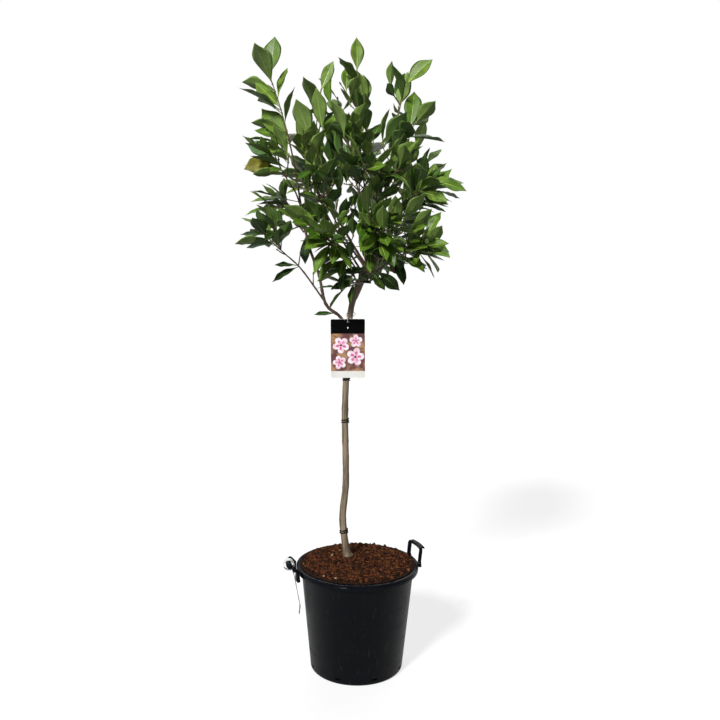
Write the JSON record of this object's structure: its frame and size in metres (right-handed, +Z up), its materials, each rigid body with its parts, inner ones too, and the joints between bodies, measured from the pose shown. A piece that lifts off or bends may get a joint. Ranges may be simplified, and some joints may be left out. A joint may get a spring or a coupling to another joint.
{
  "type": "potted magnolia tree",
  "caption": "Young magnolia grown as a standard: slender clear stem, loose crown of long leafy shoots, black nursery pot with two carrying handles and a hanging picture card.",
  "frame": {"origin": "middle of the pot's flat underside, on the floor", "axes": "+Z up along the stem, -Y towards the side that shows the picture card, +X to the right seen from there"},
  "size_m": [0.7072, 0.7439, 2.032],
  "materials": {
    "pot_plastic": "satin black moulded polypropylene, slightly blue, lightly scuffed",
    "potting_soil": "moist red-brown coir and bark compost, crumbly and fibrous",
    "bark": "smooth grey-beige young bark with fine upright streaks and pores",
    "young_bark": "dark purple-brown one-year bark, greener at the tips",
    "foliage": "leathery mid-green leaves with paler undersides, lighter at the shoot tips",
    "tie": "dark soft tie, two turns",
    "picture_card": "printed thin plastic card, satin",
    "loop_plastic": "pale flexible loop",
    "strip_paper": "white tear-proof film strip, blank"
  },
  "bodies": {
    "root": {"pot": "pot_plastic", "soil": "potting_soil", "handle_right": "pot_plastic", "handle_left": "pot_plastic", "trunk": "bark", "bough_left": "young_bark", "bough_left_low": "young_bark", "bough_left_side": "young_bark", "bough_left_mid": "young_bark", "bough_centre_left": "young_bark", "bough_inner_left": "young_bark", "bough_front_left": "young_bark", "bough_centre": "young_bark", "bough_right": "young_bark", "bough_top": "young_bark", "bough_middle": "young_bark", "bough_right_mid": "young_bark", "bough_right_low": "young_bark", "bough_front": "young_bark", "bough_left_inner": "young_bark", "bough_back_left": "young_bark", "bough_back": "young_bark", "bough_back_right": "young_bark", "bough_back_low": "young_bark", "bough_back_top": "young_bark", "foliage_left_top": "foliage", "foliage_left_low": "foliage", "foliage_left_side": "foliage", "foliage_left_mid": "foliage", "foliage_left_inner": "foliage", "foliage_centre_left": "foliage", "foliage_inner_left": "foliage", "foliage_front_left": "foliage", "foliage_centre": "foliage", "foliage_middle": "foliage", "foliage_right": "foliage", "foliage_top": "foliage", "foliage_right_mid": "foliage", "foliage_right_low": "foliage", "foliage_front": "foliage", "foliage_back_left": "foliage", "foliage_back": "foliage", "foliage_back_right": "foliage", "foliage_back_low": "foliage", "foliage_back_top": "foliage", "foliage_low": "foliage", "tie_lower": "tie", "tie_middle": "tie", "tie_upper": "tie", "label": "picture_card", "label_loop": "loop_plastic", "handle_strip": "strip_paper"}
  },
  "joints": []
}
